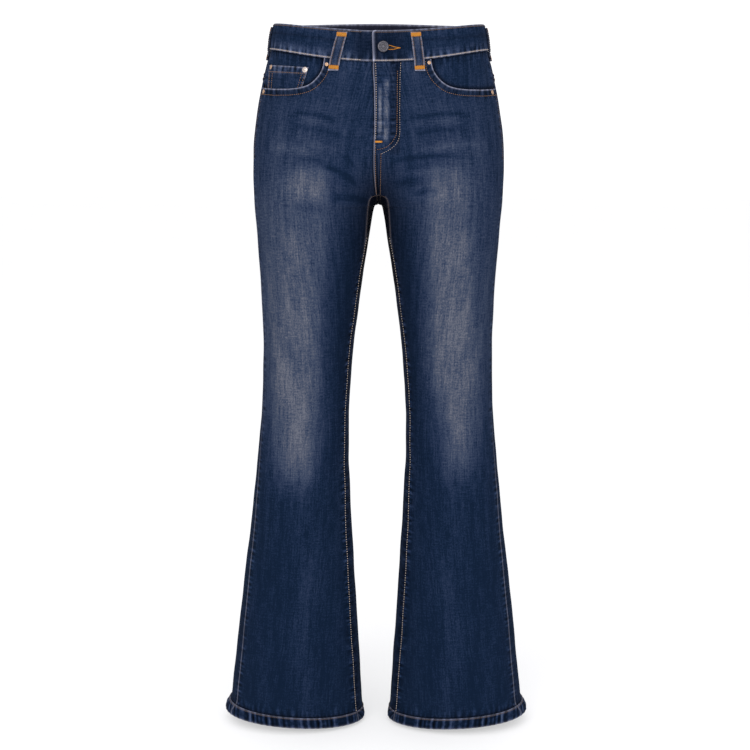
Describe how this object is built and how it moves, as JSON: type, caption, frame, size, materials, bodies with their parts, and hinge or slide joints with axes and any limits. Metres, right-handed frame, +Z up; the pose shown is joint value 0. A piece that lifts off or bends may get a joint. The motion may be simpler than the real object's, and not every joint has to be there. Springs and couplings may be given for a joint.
{
  "type": "bootcut jeans",
  "caption": "Filled-out hollow bootcut denim jeans with curved front pockets, coin pocket, buttoned waistband, belt loops and flared hemmed legs.",
  "frame": {"origin": "centre of the waist opening, at half the height of the waistband at the sides", "axes": "+Z up along the legs towards the waist, -Y to the front of the wearer, +X to the wearer's left"},
  "size_m": [0.4632, 0.2152, 1.0498],
  "materials": {
    "denim_indigo": "washed indigo twill",
    "denim_dark": "unfaded indigo twill",
    "denim_band": "indigo twill strip",
    "zip_tape": "woven tape",
    "rivet_copper": "copper-plated, lightly worn",
    "button_pewter": "aged pewter grey metal"
  },
  "bodies": {
    "root": {"front_left": "denim_indigo", "front_right": "denim_indigo", "back_left": "denim_indigo", "back_right": "denim_indigo", "yoke_left": "denim_indigo", "yoke_right": "denim_indigo", "pocket_facing_left": "denim_dark", "pocket_facing_right": "denim_dark", "back_pocket_left": "denim_indigo", "back_pocket_right": "denim_indigo", "hem_left": "denim_band", "hem_right": "denim_band", "coin_pocket": "denim_dark", "waistband": "denim_band", "fly_facing": "denim_dark", "zip": "zip_tape", "fly_shield": "denim_dark", "belt_loop_front_right": "denim_band", "belt_loop_front_left": "denim_band", "belt_loop_side_right": "denim_band", "belt_loop_side_left": "denim_band", "belt_loop_back": "denim_band", "rivet_pocket_upper_right": "rivet_copper", "rivet_pocket_upper_left": "rivet_copper", "rivet_pocket_lower_right": "rivet_copper", "rivet_pocket_lower_left": "rivet_copper", "rivet_coin_outer": "rivet_copper", "rivet_coin_inner": "rivet_copper", "button": "button_pewter"}
  },
  "joints": []
}
